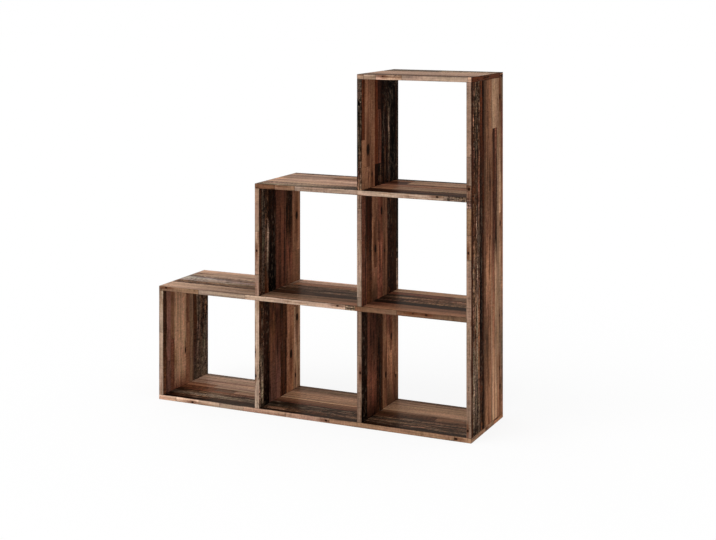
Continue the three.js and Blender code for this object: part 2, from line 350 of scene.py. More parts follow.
def makePlankFinish(look, marks, knots):
    material, nodes = newFinish("printedPlanks")

    def read(name, output="Vector"):
        return nodes.add("Attribute", None, output, attribute_type="GEOMETRY", attribute_name=name)

    def alpha(colour):
        return Reading(nodes, colour.socket.node.outputs["Alpha"])

    tone, second, age = read("tone", "Color"), read("second", "Color"), read("age", "Fac")
    along, across, seed = nodes.split(read("grain"))
    faceAlong, faceAcross, faceSeed = nodes.split(read("place"))
    knotAlong, knotAcross, knotSize = nodes.split(read("knot"))

    # the grain parts round a knot, as water does round a stone
    spread = (knotAlong * knots["shape"]) ** 2 + knotAcross ** 2
    sizeSquare = knotSize * knotSize
    push, softness = knots["push"]
    part = sizeSquare / (spread + sizeSquare * softness)
    waveAlong, waveAcross, waveSize = look["wave"]
    wave = nodes.noise(nodes.join(along * waveAlong, across * waveAcross, seed), 1.0)
    flow = across - knotAcross * part * push + wave * waveSize

    def streaks(name, run=along):
        runScale, flowScale, shift, detail, roughness, *edge = marks[name]
        place = nodes.join(run * runScale, flow * flowScale, seed + shift)
        reading = nodes.noise(place, detail, roughness)
        return nodes.rise(reading, *edge) if edge else reading

    def byAge(name):
        sound, old = look[name]
        return age * (old - sound) + sound

    def darken(colour, mark, name):
        # the mark leaves only a share of the colour's light
        strength, left = look[name]
        return nodes.mix(strength * mark, colour, nodes.scale(colour, left))

    broad, thin, fine = streaks("broad"), streaks("thin"), streaks("fine")
    patches, stain, bands, cracks = (streaks(name) for name in ("patches", "stain", "bands", "cracks"))
    pits = streaks("pits") * nodes.rise(patches, *look["pitPatches"])
    chalk = streaks("chalk") * nodes.rise(broad, *look["chalkStreaks"])
    old = nodes.rise(age, *look["oldFrom"])
    specks = streaks("specks") * streaks("crowds") * old
    nicks = streaks("nicks") * old

    # old wood breaks up into flecks, sound wood keeps long streaks
    pattern = broad * byAge("broadShare") + thin * look["thinShare"] + streaks("flecks") * byAge("fleckShare")
    pattern = pattern + (alpha(second) - 0.5) * look["secondShare"]
    colour = nodes.mix(nodes.rise(pattern, 0.5, 0.5 + look["streakEdge"]), tone, second)

    # borders: the planks in front and behind show where their worn sides wander over this one
    front, back, gaps = read("frontTone", "Color"), read("backTone", "Color"), read("seam", "Color")
    fromFront, fromBack, fromStart = nodes.split(gaps)
    biteAlong, biteAcross, detail, roughness, depth = look["bite"]
    place = nodes.join(faceAlong * biteAlong, faceAcross * biteAcross, faceSeed)
    bite = nodes.noise(place, detail, roughness) - 0.5
    frontGap = fromFront - bite * alpha(front) * depth
    backGap = fromBack + bite * alpha(back) * depth
    for gap, neighbour in ((frontGap, front), (backGap, back)):
        beyond = 1 - nodes.rise(gap, -look["borderSoft"], look["borderSoft"])
        colour = nodes.mix(beyond, colour, neighbour)

    warm = nodes.rise(stain, *look["warmFrom"]) * (1 - age) * look["warmth"]
    colour = nodes.mix(warm, colour, nodes.mix(1.0, colour, look["warmTint"], "MULTIPLY"))
    red, blue = ((streaks(name) - 0.5) * byAge(name) for name in ("redGreen", "blueYellow"))
    colour = nodes.multiply(colour, nodes.join(1 + red, 1 - red * look["greenShare"], 1 + blue))
    swing = (patches - 0.5) * look["mottle"] + (stain - 0.5) * look["stain"]
    swing = swing + (fine - 0.5) * look["fibre"] + (streaks("cloud") - 0.5) * look["cloud"]
    swing = swing + (streaks("lines") - 0.5) * byAge("lines")
    short = [(streaks(name, faceAlong) - 0.5) * byAge(name) for name in ("grit", "sawn")]
    light = 1 + swing * read("contrast", "Fac") + (short[0] + short[1])
    colour = nodes.scale(colour, light.most(look["darkest"]))
    colour = darken(colour, bands, "bands")
    colour = nodes.mix(chalk * age * look["chalk"], colour, look["chalkColour"])
    colour = nodes.mix(specks * look["specks"], colour, look["chalkColour"])
    colour = darken(colour, nicks, "nicks")
    colour = darken(colour, cracks * byAge("crackShow"), "cracks")
    colour = darken(colour, pits, "pits")

    # knots: a dark heart with rings, and a reddish halo that trails along the grain
    raggedPatches, raggedThin = knots["ragged"]
    rim = spread ** 0.5 / knotSize + (patches - 0.5) * raggedPatches + (thin - 0.5) * raggedThin
    heart = 1 - nodes.rise(rim, *knots["heart"])
    trail = ((knotAlong * knots["trailShape"]) ** 2 + knotAcross ** 2) ** 0.5 / knotSize
    trail = trail + (thin - 0.5) * knots["trailRagged"]
    halo = 1 - nodes.rise(trail, *knots["halo"])
    closeness, dark = knots["rings"]
    rings = (rim * closeness).sine() * dark + (1 - dark)
    colour = nodes.mix(halo * knots["haloShare"], colour, knots["haloColour"])
    colour = nodes.mix(heart * knots["heartShare"], colour, nodes.scale(knots["colour"], rings))

    # seams: dark where one plank ends, fainter along a worn border
    kept = 1 - alpha(front).most(alpha(back)) / (look["raggedMost"] * look["seamLoss"])
    side = frontGap.absolute().least(backGap.absolute())
    end = fromStart.least(alpha(gaps))
    seam = (1 - nodes.rise(side, *look["seamWidth"])) * kept
    seam = seam.most(1 - nodes.rise(end, *look["seamWidth"]))
    colour = nodes.scale(colour, 1 - seam * look["seamDark"])

    deep = look["heights"]
    height = fine * deep["fine"] + bands * deep["bands"] - cracks * age - pits * deep["pits"]
    height = height - seam * deep["seam"] - heart * deep["heart"]
    shader = nodes.add("BsdfPrincipled", {
        "Base Color": colour,
        "Roughness": (fine - 0.5) * look["roughnessSwing"] + byAge("roughness"),
        "Normal": nodes.relief(height, *look["relief"]),
        "Specular IOR Level": look["gloss"],
    })

    # the lacquer over the print throws back light in a warm tint, more the flatter one looks at it
    film = nodes.add("BsdfPrincipled", {
        "Base Color": look["lacquerColour"], "Metallic": 1.0, "Roughness": look["lacquerRoughness"]})
    bend = nodes.add("Fresnel", {"IOR": look["lacquerBend"]})
    nodes.show(nodes.mixShader(bend * read("lacquer", "Fac"), shader, film))
    return material


plankMaterial = makePlankFinish(plankFinish, printMarks, knotLook)
print("plank finish made")

# sorts of old wood in the print: two colours on a screen, the share of the second, how weathered it is
sorts = {
    "pale": ((196, 166, 144), (166, 133, 110), 0.40, 0.05),
    "tan": ((168, 130, 102), (126, 90, 65), 0.40, 0.15),
    "pink": ((174, 140, 118), (134, 101, 81), 0.40, 0.15),
    "honey": ((147, 102, 75), (100, 63, 44), 0.42, 0.20),
    "rose": ((146, 101, 85), (99, 62, 51), 0.42, 0.20),
    "redBrown": ((120, 73, 54), (70, 41, 29), 0.45, 0.35),
    "umber": ((88, 53, 34), (44, 25, 16), 0.50, 0.55),
    "maroon": ((84, 42, 23), (46, 22, 11), 0.40, 0.35),
    "soot": ((32, 16, 9), (84, 48, 28), 0.34, 0.70),
    "drift": ((42, 24, 14), (126, 91, 69), 0.44, 1.00),
    "ash": ((142, 116, 96), (60, 43, 33), 0.50, 0.95),
    "silver": ((146, 130, 120), (84, 70, 61), 0.50, 0.60),
}

# Each face is a row of strips from front to back: (share of the depth where it ends, how worn its border
# towards the back is, pieces). A piece is (share of the length where it ends, sort, shade), and may end in
# a second sort and shade. A knot is (share of the length, share of the depth, radius in mm).
faces = {
    "right_side_panel": ([
        (0.042, 0.6, (1, "maroon", 0.5)),
        (0.1, 1, (0.08, "drift", 0.34), (0.3, "ash", 1.65), (0.5, "drift", 0.8), (0.66, "drift", 2.6),
         (0.77, "umber", 1.35), (1, "drift", 2.75)),
        (0.16, 1, (0.12, "drift", 0.46), (0.3, "ash", 0.65), (0.66, "drift", 2.5), (0.77, "umber", 0.65),
         (1, "drift", 0.85)),
        (0.2, 1, (0.15, "drift", 0.32), (0.3, "ash", 0.36), (0.65, "ash", 3), (0.77, "umber", 0.18),
         (1, "drift", 0.8)),
        (0.25, 1, (0.3, "ash", 0.6), (0.54, "umber", 3), (0.72, "ash", 0.26), (0.87, "redBrown", 1.2),
         (1, "drift", 3)),
        (0.33, 1, (0.35, "soot", 3), (0.74, "soot", 0.26), (0.94, "umber", 0.28), (1, "maroon", 1.25)),
        (0.385, 0.9, (0.72, "soot", 0.14), (0.87, "maroon", 0.75), (1, "maroon", 0.14)),
        (0.44, 0.8, (0.5, "honey", 0.42), (0.7, "honey", 0.46), (0.855, "honey", 0.34), (1, "honey", 0.24)),
        (0.53, 0.8, (0.25, "honey", 1.3), (0.45, "honey", 0.26), (0.69, "honey", 1.7),
         (0.855, "honey", 0.55), (0.87, "honey", 0.85), (1, "honey", 0.6)),
        (0.62, 0.8, (0.3, "honey", 1.05), (0.45, "honey", 0.7), (0.7, "honey", 1.55), (0.85, "honey", 0.36),
         (0.87, "honey", 0.9), (1, "honey", 0.9)),
        (0.655, 0.8, (0.25, "tan", 0.55), (0.47, "tan", 0.9), (0.5, "honey", 0.95), (0.7, "honey", 0.55),
         (0.854, "honey", 0.65), (0.855, "honey", 0.9), (1, "tan", 0.65)),
        (0.73, 0.8, (0.25, "tan", 1.5), (0.47, "honey", 1.3), (0.53, "redBrown", 1.4),
         (0.67, "redBrown", 0.9), (0.854, "redBrown", 0.36), (0.855, "redBrown", 0.22), (1, "tan", 1.15)),
        (0.8, 0.8, (0.25, "tan", 1.3), (0.42, "tan", 0.55), (0.53, "tan", 1.2), (0.67, "redBrown", 0.14),
         (0.854, "redBrown", 0.55), (0.855, "redBrown", 1.1), (1, "tan", 0.9)),
        (0.86, 0.8, (0.25, "honey", 1.1), (0.5, "tan", 0.7), (0.85, "tan", 0.55), (1, "tan", 0.7)),
        (0.93, 0.8, (0.24, "honey", 0.85), (0.6, "tan", 0.48), (0.9, "tan", 1.35), (1, "honey", 0.6)),
        (1, 0.8, (0.2, "honey", 1.25), (0.42, "ash", 0.65), (0.9, "honey", 1.35), (0.95, "redBrown", 1.05),
         (1, "tan", 0.42)),
    ], [(0.943, 0.9, 9), (0.567, 0.905, 9), (0.084, 0.905, 9), (0.695, 0.665, 11), (0.14, 0.88, 6),
        (0.295, 0.89, 5), (0.279, 0.12, 7), (0.5, 0.45, 5), (0.54, 0.58, 6)]),
    "lower_row_left_panel": ([
        (0.075, 0.9, (0.5, "umber", 2.2), (1, "umber", 0.75)),
        (0.16, 0.3, (0.3, "rose", 0.75), (1, "rose", 1.05)),
        (0.235, 0.3, (0.5, "redBrown", 1.4), (1, "honey", 0.9)),
        (0.37, 0.8, (0.12, "redBrown", 1.85), (0.25, "tan", 1.65), (1, "tan", 1.8)),
        (0.495, 0.8, (0.15, "redBrown", 2), (0.3, "tan", 2), (1, "tan", 1.95)),
        (0.58, 0.3, (0.6, "honey", 1.25), (1, "honey", 1.15)),
        (0.66, 0.3, (1, "tan", 0.9)),
        (0.735, 1, (0.5, "ash", 0.34), (1, "umber", 1.05)),
        (0.8, 1, (1, "ash", 0.9)),
        (0.92, 1, (0.5, "ash", 0.85), (1, "drift", 0.85)),
        (1, 0.1, (0.6, "ash", 0.9), (1, "drift", 2.15)),
    ], [(0.34, 0.49, 7)]),
    "lower_row_divider_1": ([
        (0.045, 1, (0.1, "drift", 0.65), (0.45, "ash", 3), (0.6, "ash", 1.2), (1, "umber", 1.35)),
        (0.1, 1, (0.1, "drift", 0.55), (0.45, "ash", 3), (0.6, "ash", 0.6), (1, "drift", 2.65)),
        (0.24, 0.8, (0.5, "soot", 0.14), (1, "soot", 2.75)),
        (0.39, 0.8, (0.7, "rose", 0.75), (1, "umber", 2)),
        (0.5, 0.8, (0.6, "rose", 1.2), (1, "redBrown", 0.75)),
        (0.575, 0.4, (1, "umber", 0.8)),
        (0.66, 0.4, (1, "umber", 1.25)),
        (0.84, 0.1, (1, "honey", 1.85)),
        (1, 0.1, (0.8, "tan", 1.45), (1, "honey", 1.25)),
    ], [(0.69, 0.92, 11), (0.36, 0.77, 12), (0.13, 0.88, 6)]),
    "lower_row_divider_2": ([
        (0.15, 1, (0.6, "soot", 0.14), (1, "soot", 1.65)),
        (0.27, 0.8, (0.3, "redBrown", 0.3), (0.55, "redBrown", 1.55), (1, "redBrown", 0.8)),
        (0.39, 0.8, (0.3, "redBrown", 0.14), (0.55, "redBrown", 1.8), (1, "redBrown", 0.65)),
        (0.56, 0.5, (1, "umber", 0.8)),
        (0.68, 0.1, (1, "honey", 1.35)),
        (0.82, 0.8, (0.5, "honey", 0.42), (0.8, "honey", 2.65), (1, "redBrown", 1.5)),
        (1, 0.8, (0.25, "honey", 0.55), (0.5, "honey", 1.35), (0.8, "honey", 1.45), (1, "honey", 0.7)),
    ], [(0.63, 0.8, 11), (0.3, 0.65, 11), (0.24, 0.93, 6)]),
    "middle_row_left_panel": ([
        (0.06, 1, (0.3, "drift", 1.4), (1, "umber", 0.7)),
        (0.13, 1, (0.4, "drift", 3), (1, "ash", 0.5)),
        (0.18, 1, (0.25, "maroon", 1.2), (0.6, "umber", 0.8), (0.8, "drift", 2.25), (1, "umber", 0.6)),
        (0.225, 1, (0.2, "umber", 2.5), (0.55, "pink", 0.2), (0.7, "ash", 3), (1, "drift", 3)),
        (0.39, 0.9, (0.6, "soot", 0.14), (1, "soot", 1.4)),
        (0.52, 0.2, (1, "redBrown", 0.9)),
        (0.635, 0.4, (1, "redBrown", 1)),
        (0.8, 0.8, (0.25, "honey", 0.8), (0.55, "redBrown", 1.45), (0.65, "umber", 0.9), (1, "umber", 0.8)),
        (1, 0.1, (0.3, "honey", 0.85), (1, "honey", 1.1)),
    ], [(0.64, 0.91, 11)]),
    "middle_row_divider_1": ([
        (0.105, 0.3, (1, "redBrown", 1)),
        (0.13, 0.8, (0.5, "redBrown", 1.8), (1, "honey", 0.18)),
        (0.27, 0.8, (0.6, "umber", 1.95), (1, "maroon", 0.55)),
        (0.42, 0.8, (0.3, "honey", 0.6), (1, "honey", 1.45)),
        (0.56, 0.8, (0.4, "redBrown", 2.35), (1, "redBrown", 2.2)),
        (0.69, 0.5, (1, "honey", 0.95)),
        (0.83, 1, (1, "soot", 2.3)),
        (0.95, 1, (1, "umber", 0.4)),
        (1, 0.1, (0.3, "ash", 1.35), (0.4, "drift", 0.14), (1, "soot", 0.2)),
    ], [(0.8, 0.53, 11), (0.47, 0.36, 12), (0.42, 0.61, 6)]),
    "top_row_left_panel": ([
        (0.08, 0.3, (0.45, "honey", 1.3), (1, "maroon", 1.55)),
        (0.22, 0.2, (0.2, "honey", 1.7), (1, "honey", 1.45)),
        (0.345, 0.2, (1, "honey", 1.3)),
        (0.43, 0.3, (0.2, "maroon", 0.38), (1, "maroon", 2)),
        (0.52, 0.4, (0.2, "drift", 1.15), (0.7, "redBrown", 1.25), (1, "redBrown", 0.3)),
        (0.71, 1, (1, "soot", 1.25)),
        (0.755, 1, (0.1, "soot", 1.5), (0.25, "ash", 0.4), (0.55, "ash", 0.55), (0.75, "ash", 1.45),
         (1, "soot", 0.8)),
        (0.9, 1, (1, "soot", 0.14)),
        (1, 0.1, (1, "soot", 0.85)),
    ], [(0.35, 0.17, 15), (0.12, 0.27, 6)]),
    # The near-black keys at the left end of the first two bays (0 and 0.335 of the length), in the strips up
    # to 0.39 of the depth, are painted shade and a painted reflection. They darken the board beside the
    # upright on their left, where that upright's shade and its dark mirror image fall.
    "bottom_board": ([
        (0.06, 0.5, (0.11, "maroon", 0.14), (0.335, "umber", 0.14), (0.656, "maroon", 0.14),
         (1, "umber", 0.14)),
        (0.15, 1, (0.1, "umber", 0.14), (0.335, "drift", 3), (0.37, "drift", 0.14), (0.656, "drift", 2.25),
         (1, "drift", 1.2)),
        (0.25, 1, (0.1, "umber", 0.14), (0.335, "ash", 1.35), (0.37, "ash", 0.26), (0.656, "drift", 0.16),
         (1, "drift", 0.9)),
        (0.34, 1, (0.11, "umber", 0.14), (0.335, "drift", 3), (0.37, "drift", 0.14), (0.656, "drift", 0.16),
         (1, "drift", 0.7)),
        (0.39, 0.9, (0.11, "umber", 0.14), (0.335, "umber", 3), (0.656, "redBrown", 0.8), (1, "umber", 1)),
        (0.5, 0.3, (0.13, "umber", 2.7), (0.198, "tan", 0.48), (0.305, "tan", 0.9), (0.656, "honey", 0.65),
         (0.85, "umber", 0.95), (1, "honey", 0.7)),
        (0.62, 0.2, (0.11, "honey", 1.5), (0.335, "pink", 0.95), (0.656, "tan", 1.4), (1, "tan", 1.1)),
        (0.78, 0.2, (0.305, "pink", 1.25), (0.656, "tan", 1.4), (1, "tan", 1.35)),
        (0.94, 0.2, (0.305, "pink", 1.55), (0.656, "tan", 0.7), (1, "tan", 0.85)),
        (1, 0.1, (0.335, "ash", 1.6), (1, "honey", 0.46)),
    ], [(0.184, 0.47, 8), (0.84, 0.5, 9)]),
    # The near-black pieces that begin at 0.67 of the length, in most strips between 0.27 and 0.71 of the
    # depth, are painted shade and a painted reflection. They darken the shelf beside the upright on their
    # left, where that upright's shade and its dark mirror image fall.
    "lower_shelf": ([
        (0.14, 0.8, (0.25, "pink", 1.25), (0.37, "pink", 0.7), (0.66, "tan", 0.7), (0.8, "honey", 0.85),
         (1, "honey", 0.85)),
        (0.27, 1, (0.33, "pink", 1.25), (0.66, "tan", 0.65), (0.7, "honey", 0.6), (0.78, "redBrown", 0.8),
         (1, "honey", 0.6)),
        (0.3, 1, (0.36, "honey", 0.16), (0.67, "umber", 0.14), (0.76, "maroon", 0.14), (1, "maroon", 0.14)),
        (0.42, 1, (0.36, "drift", 3), (0.67, "umber", 0.8), (0.77, "maroon", 0.14), (1, "umber", 0.14)),
        (0.54, 1, (0.36, "silver", 1.55), (0.67, "drift", 3), (0.77, "drift", 0.9), (1, "drift", 3)),
        (0.65, 1, (0.36, "silver", 1.3), (0.67, "drift", 1.5), (0.77, "umber", 0.14), (1, "drift", 2.45)),
        (0.71, 0.7, (0.25, "ash", 1.75), (0.36, "umber", 1.9), (0.6, "drift", 1.95), (0.77, "umber", 0.2),
         (1, "umber", 0.95)),
        (0.84, 0.2, (0.36, "pink", 0.85), (0.6, "honey", 1.35), (0.885, "redBrown", 1.25), (1, "tan", 0.6)),
        (1, 0.1, (0.36, "pink", 1.1), (0.656, "pink", 1.5), (1, "tan", 1.1)),
    ], [(0.865, 0.79, 8), (0.02, 0.8, 6)]),
    # The near-black keys at 0.5 of the length in the two front strips are painted shade and a painted
    # reflection. They darken the shelf beside the upright on their left, where that upright's shade and its
    # dark mirror image fall.
    "upper_shelf": ([
        (0.13, 1, (0.1, "ash", 0.55), (0.5, "ash", 1.15), (0.7, "maroon", 0.14), (1, "maroon", 0.48)),
        (0.24, 1, (0.2, "ash", 1.35), (0.5, "ash", 1.8), (0.7, "maroon", 0.14), (1, "umber", 0.9)),
        (0.44, 0.2, (0.5, "pink", 1), (0.62, "honey", 1.2), (1, "tan", 1.1)),
        (0.65, 0.8, (0.06, "tan", 1.35), (0.42, "pink", 0.8), (0.46, "pink", 1.2), (0.6, "redBrown", 1.55),
         (1, "honey", 1.05)),
        (0.8, 0.3, (0.25, "pink", 0.75), (0.5, "honey", 0.75), (0.62, "maroon", 1.05), (1, "tan", 1.7)),
        (0.92, 0.1, (0.25, "pink", 0.9), (0.5, "tan", 1.05), (0.62, "umber", 2.8), (1, "tan", 1.05)),
        (1, 0.1, (0.5, "ash", 0.75), (1, "ash", 0.14)),
    ], [(0.75, 0.62, 6)]),
    "top_board": ([
        (0.2, 0.8, (0.3, "tan", 0.24), (1, "honey", 0.28)),
        (0.44, 0.2, (1, "pink", 0.75)),
        (0.68, 0.3, (1, "pink", 0.95)),
        (0.85, 0.6, (0.5, "ash", 0.65), (1, "ash", 1.6)),
        (1, 0.1, (1, "tan", 0.14)),
    ], []),
}

# Edging: pieces along the length, and knots as (share of the length, share of the width, radius in mm)
edges = {
    "bottom_board_front": ([(0.06, "pale", 1.25), (0.14, "pale", 1.5), (0.21, "pale", 0.9),
        (0.29, "pale", 0.6), (0.43, "pink", 1.05), (0.57, "pink", 0.9), (0.95, "tan", 0.7),
        (1, "tan", 0.85)], [(0.117, 0.35, 4), (0.56, 0.5, 3.5), (0.955, 0.5, 4.5)]),
    "lower_shelf_front": ([(0.14, "tan", 0.6), (0.3, "pale", 0.55), (0.63, "pale", 0.9), (0.66, "ash", 1.5),
        (0.79, "honey", 0.6, "tan", 0.44), (1, "honey", 0.5, "tan", 0.44)],
        [(0.025, 0.7, 3.5), (0.605, 0.7, 3.5), (0.84, 0.7, 3.5), (0.88, 0.7, 3.5)]),
    "upper_shelf_front": ([(0.1, "honey", 0.6), (0.2, "tan", 0.6), (0.5, "pale", 0.65), (0.9, "pale", 0.85),
        (1, "ash", 0.65)], [(0.87, 0.7, 3.5)]),
    "top_board_front": ([(0.06, "pink", 0.65), (0.17, "pale", 0.6), (0.4, "pink", 1.05),
        (0.97, "pale", 0.7), (1, "pink", 1.55)], [(0.23, 0.7, 3)]),
    "right_side_panel_front": ([(0.22, "pink", 0.55), (0.5, "pink", 0.65), (0.57, "tan", 0.75),
        (0.645, "tan", 0.7), (0.71, "ash", 0.95), (0.79, "pink", 0.6), (1, "pink", 0.65)],
        [(0.52, 0.4, 3.5), (0.7, 0.5, 5), (0.02, 0.3, 3.5)]),
    "lower_row_left_panel_front": ([(0.6, "pale", 0.65), (1, "pale", 0.65)], []),
    "lower_row_divider_1_front": ([(1, "pale", 0.85)], [(0.3, 0.2, 4), (0.52, 0.1, 3)]),
    "lower_row_divider_2_front": ([(0.27, "pink", 0.55), (0.6, "pink", 0.55), (1, "pink", 0.5)],
        [(0.45, 0.7, 3.5)]),
    "middle_row_left_panel_front": ([(0.2, "pink", 0.75), (0.6, "pink", 0.9), (1, "pink", 0.75)],
        [(0.42, 0.45, 3.5)]),
    "middle_row_divider_1_front": ([(0.08, "pale", 0.5), (0.6, "pale", 0.65), (0.88, "pink", 0.55),
        (1, "pink", 0.48)], []),
    "top_row_left_panel_front": ([(0.2, "drift", 1.1), (0.4, "drift", 0.55), (0.8, "ash", 0.24),
        (1, "ash", 0.26)], []),
    "top_board_right": ([(0.9, "maroon", 1.1, "redBrown", 0.48), (1, "drift", 2.1)], []),
    "bottom_board_right": ([(0.44, "tan", 0.8), (0.7, "tan", 0.8), (1, "honey", 1.75)], [(0.44, 0.5, 4)]),
}

boards = {
    "thickness": 0.015,
    "lacquer": {"bottom_board": 0.11, "lower_shelf": 0.085, "upper_shelf": 0.055, "top_board": 0.05},
    "stretch": 0.30,  # on the shelf faces marks are 1 / this times as long along the grain
    "contrast": 1.7,  # and tones swing this many times as much
    "edging": 0.001,  # thickness of an edging strip
    "edgingRound": 0.0007,  # radius along its outer corners
    "edgingChamfer": 0.0003,  # at its two ends
    "edgingRim": (0.35, 0.22),  # how dark and how ragged its two sides are
    "roundSteps": 4,
    "blendFrom": 0.75,  # a strip that is more worn than this has no butt ends
    "sound": 0.1,  # how worn an edging strip's sides are
    "smoothBelow": 40,  # degrees between faces that are shaded as one
}
# the level boards, and which of their ends (left, right) no joint hides
bareEnds = {"bottom_board": (1, 1), "lower_shelf": (1, 0), "upper_shelf": (1, 0), "top_board": (1, 1)}
uprights = [name for name in faces if name not in bareEnds]

# Faces and edging that the picture doesn't show are drawn at random: how likely each sort is, and ranges for
# the rest. Places are shares of length and depth, knot radii are in mm.
hiddenFaces = {
    "sorts": {"tan": 0.2, "honey": 0.2, "redBrown": 0.17, "umber": 0.12, "drift": 0.12, "pink": 0.08,
              "soot": 0.07, "ash": 0.04},
    "shade": (0.75, 1.05),
    "plankWidth": (0.022, 0.075),
    "fullFrom": 0.94,  # a strip that ends beyond this takes the rest of the face
    "buttEnds": (0, 0, 1, 2),  # how many a strip has, one of these
    "worn": (0.1, 0.1, 1.0),  # and how worn its border is
    "endAt": (0.1, 0.9),
    "knots": (2, 6),
    "knot": ((0.05, 0.95), (0.05, 0.95), (4, 8)),
}
hiddenEdges = {
    "sorts": {"tan": 0.35, "pale": 0.25, "pink": 0.15, "honey": 0.15, "redBrown": 0.1},
    "shade": (0.8, 1.0),
    "buttEnds": (0, 3),
    "endAt": (0.1, 0.9),
    "knots": (1, 4),
    "knot": ((0.05, 0.95), (0.2, 0.8), (2, 4)),
}
# starting numbers of the random draws; for edging strips also the step from board to board
seeds = {"board": 100, "front": (200, 1), "back": (300, 1), "left": (400, 2), "right": (401, 2),
         "madeUp": 500, "hiddenFace": 50, "reach": 400}


def makeUpPieces(rng, count, style):
    ends = np.sort(rng.uniform(*style["endAt"], count)).tolist() + [1]
    names, odds = list(style["sorts"]), list(style["sorts"].values())
    return [(end, rng.choice(names, p=odds), rng.uniform(*style["shade"])) for end in ends]


def makeUpKnots(rng, style):
    return [tuple(rng.uniform(*span) for span in style["knot"]) for _ in range(rng.integers(*style["knots"]))]


def makeUpFace(rng, depth):
    # strips of random width and sort, cut here and there by a butt end, with a few knots
    style, strips, reach = hiddenFaces, [], 0.0
    while reach < 1:
        reach += rng.uniform(*style["plankWidth"]) / depth
        reach = 1.0 if reach > style["fullFrom"] else reach
        pieces = makeUpPieces(rng, rng.choice(style["buttEnds"]), style)
        strips.append((reach, rng.choice(style["worn"]), *pieces))
    return strips, makeUpKnots(rng, style)


def makeUpEdge(rng):
    pieces = makeUpPieces(rng, rng.integers(*hiddenEdges["buttEnds"]), hiddenEdges)
    return pieces, makeUpKnots(rng, hiddenEdges)


# the columns of a row of layPlanks
lowAt, highAt, frontAt, backAt, startAt, stopAt, seamStartAt, seamStopAt = range(8)
toneAt, lastAt, secondAt, lastSecondAt = (slice(k, k + 3) for k in (8, 11, 14, 17))
shareAt, ageAt, seedAt, wornAt, knotAt = 20, 21, 22, 23, 24
noKnot = (-9, -9, 1e-4)  # far off and tiny
hair = 1e-4  # a step over the border to the next plank


def layPlanks(strips, knots, length, depth, rng):
    # a row of numbers for every plank of a face; a plank with several knots is parted midway between them.
    # In a strip that is worn through, each piece passes into the next one
    rows, front = [], 0.0
    for end, worn, *pieces in strips:
        start, seed = 0.0, rng.uniform(0, seeds["reach"])
        blended = worn > boards["blendFrom"]
        for piece, after in zip(pieces, [*pieces[1:], pieces[-1]]):
            stop, sort, shade = piece[:3]
            lastSort, lastShade = piece[3:] or (after[1:3] if blended else (sort, shade))
            inside = sorted(k for k in knots if start <= k[0] < stop and front <= k[1] < end)
            cuts = [start] + [(a[0] + b[0]) / 2 for a, b in zip(inside, inside[1:])] + [stop]
            one, two, share, age = sorts[sort]
            lastOne, lastTwo, lastShare, lastAge = sorts[lastSort]
            look = [*linear(one, shade), *linear(lastOne, lastShade),
                    *linear(two, shade), *linear(lastTwo, lastShade),
                    (share + lastShare) / 2, (age + lastAge) / 2,
                    seed if blended else rng.uniform(0, seeds["reach"]), worn]
            for k, (low, high) in enumerate(zip(cuts, cuts[1:])):
                knot = inside[k] if inside else None
                spot = (knot[0] * length, knot[1] * depth, knot[2] / 1000) if knot else noKnot
                seam = (0, length) if blended else (start * length, stop * length)
                rows.append([low * length, high * length, front * depth, end * depth,
                             start * length, stop * length, *seam, *look, *spot])
            start = stop
        front = end
    return np.array(rows)


def findPlank(places, planks):
    # the row of the plank that each place (along, across) lies in
    slack = 1e-7
    along, across = places[..., :1], places[..., 1:]
    inside = ((along >= planks[:, lowAt] - slack) & (along <= planks[:, highAt] + slack)
              & (across >= planks[:, frontAt] - slack) & (across <= planks[:, backAt] + slack))
    return planks[inside.argmax(-1)]


def paintCorners(places, planks, faceSeed, rim=(1.0, 0.1), lacquer=0.0, stretch=1.0, contrast=1.0):
    # places: quads x corners x (along, across). Each quad takes the plank that its centre lies in. A corner
    # gets its distances from that plank's sides, ends and knot, and the colour first (1 - s) + last s with
    # s = (along - start) / (stop - start). rim is how dark and how ragged the outermost sides are
    middle = places.mean(1)
    plank = findPlank(middle, planks)
    before, behind = (findPlank(np.stack([middle[:, 0], beyond], -1), planks)
                      for beyond in (plank[:, frontAt] - hair, plank[:, backAt] + hair))

    def border(outermost, neighbour, inFront):
        # the neighbour's colour, and how far the border wanders, which the plank in front of it says
        colour = np.where(outermost[:, None], plank[:, toneAt] * rim[0], neighbour[:, toneAt])
        ragged = np.where(outermost, rim[1], inFront[:, wornAt]) * plankFinish["raggedMost"]
        return np.concatenate([colour, ragged[:, None]], -1)[:, None]

    front = border(plank[:, frontAt] < hair, before, before)
    back = border(plank[:, backAt] > planks[:, backAt].max() - hair, behind, plank)
    plank = plank[:, None, :]
    along, across = places[..., 0], places[..., 1]
    share = ((along - plank[..., startAt]) / (plank[..., stopAt] - plank[..., startAt]))[..., None]
    even, none = np.ones_like(share), np.zeros_like(along)

    def graded(columns, lastColumns, alpha):
        colour = plank[..., columns] * (1 - share) + plank[..., lastColumns] * share
        return np.concatenate([colour, alpha[..., None] * even], -1)

    return {
        "tone": graded(toneAt, lastAt, np.ones_like(plank[..., 0])),
        "second": graded(secondAt, lastSecondAt, plank[..., shareAt]),
        "frontTone": front * even,
        "backTone": back * even,
        "seam": np.stack([across - plank[..., frontAt], plank[..., backAt] - across,
                          along - plank[..., seamStartAt], plank[..., seamStopAt] - along], -1),
        "grain": np.stack([along * stretch, across - plank[..., frontAt], plank[..., seedAt] + none], -1),
        "place": np.stack([along, across, faceSeed + none], -1),
        "knot": np.stack([along - plank[..., knotAt], across - plank[..., knotAt + 1],
                          plank[..., knotAt + 2] + none], -1),
        "age": plank[..., ageAt] + none,
        "lacquer": lacquer + none,
        "contrast": contrast + none,
    }


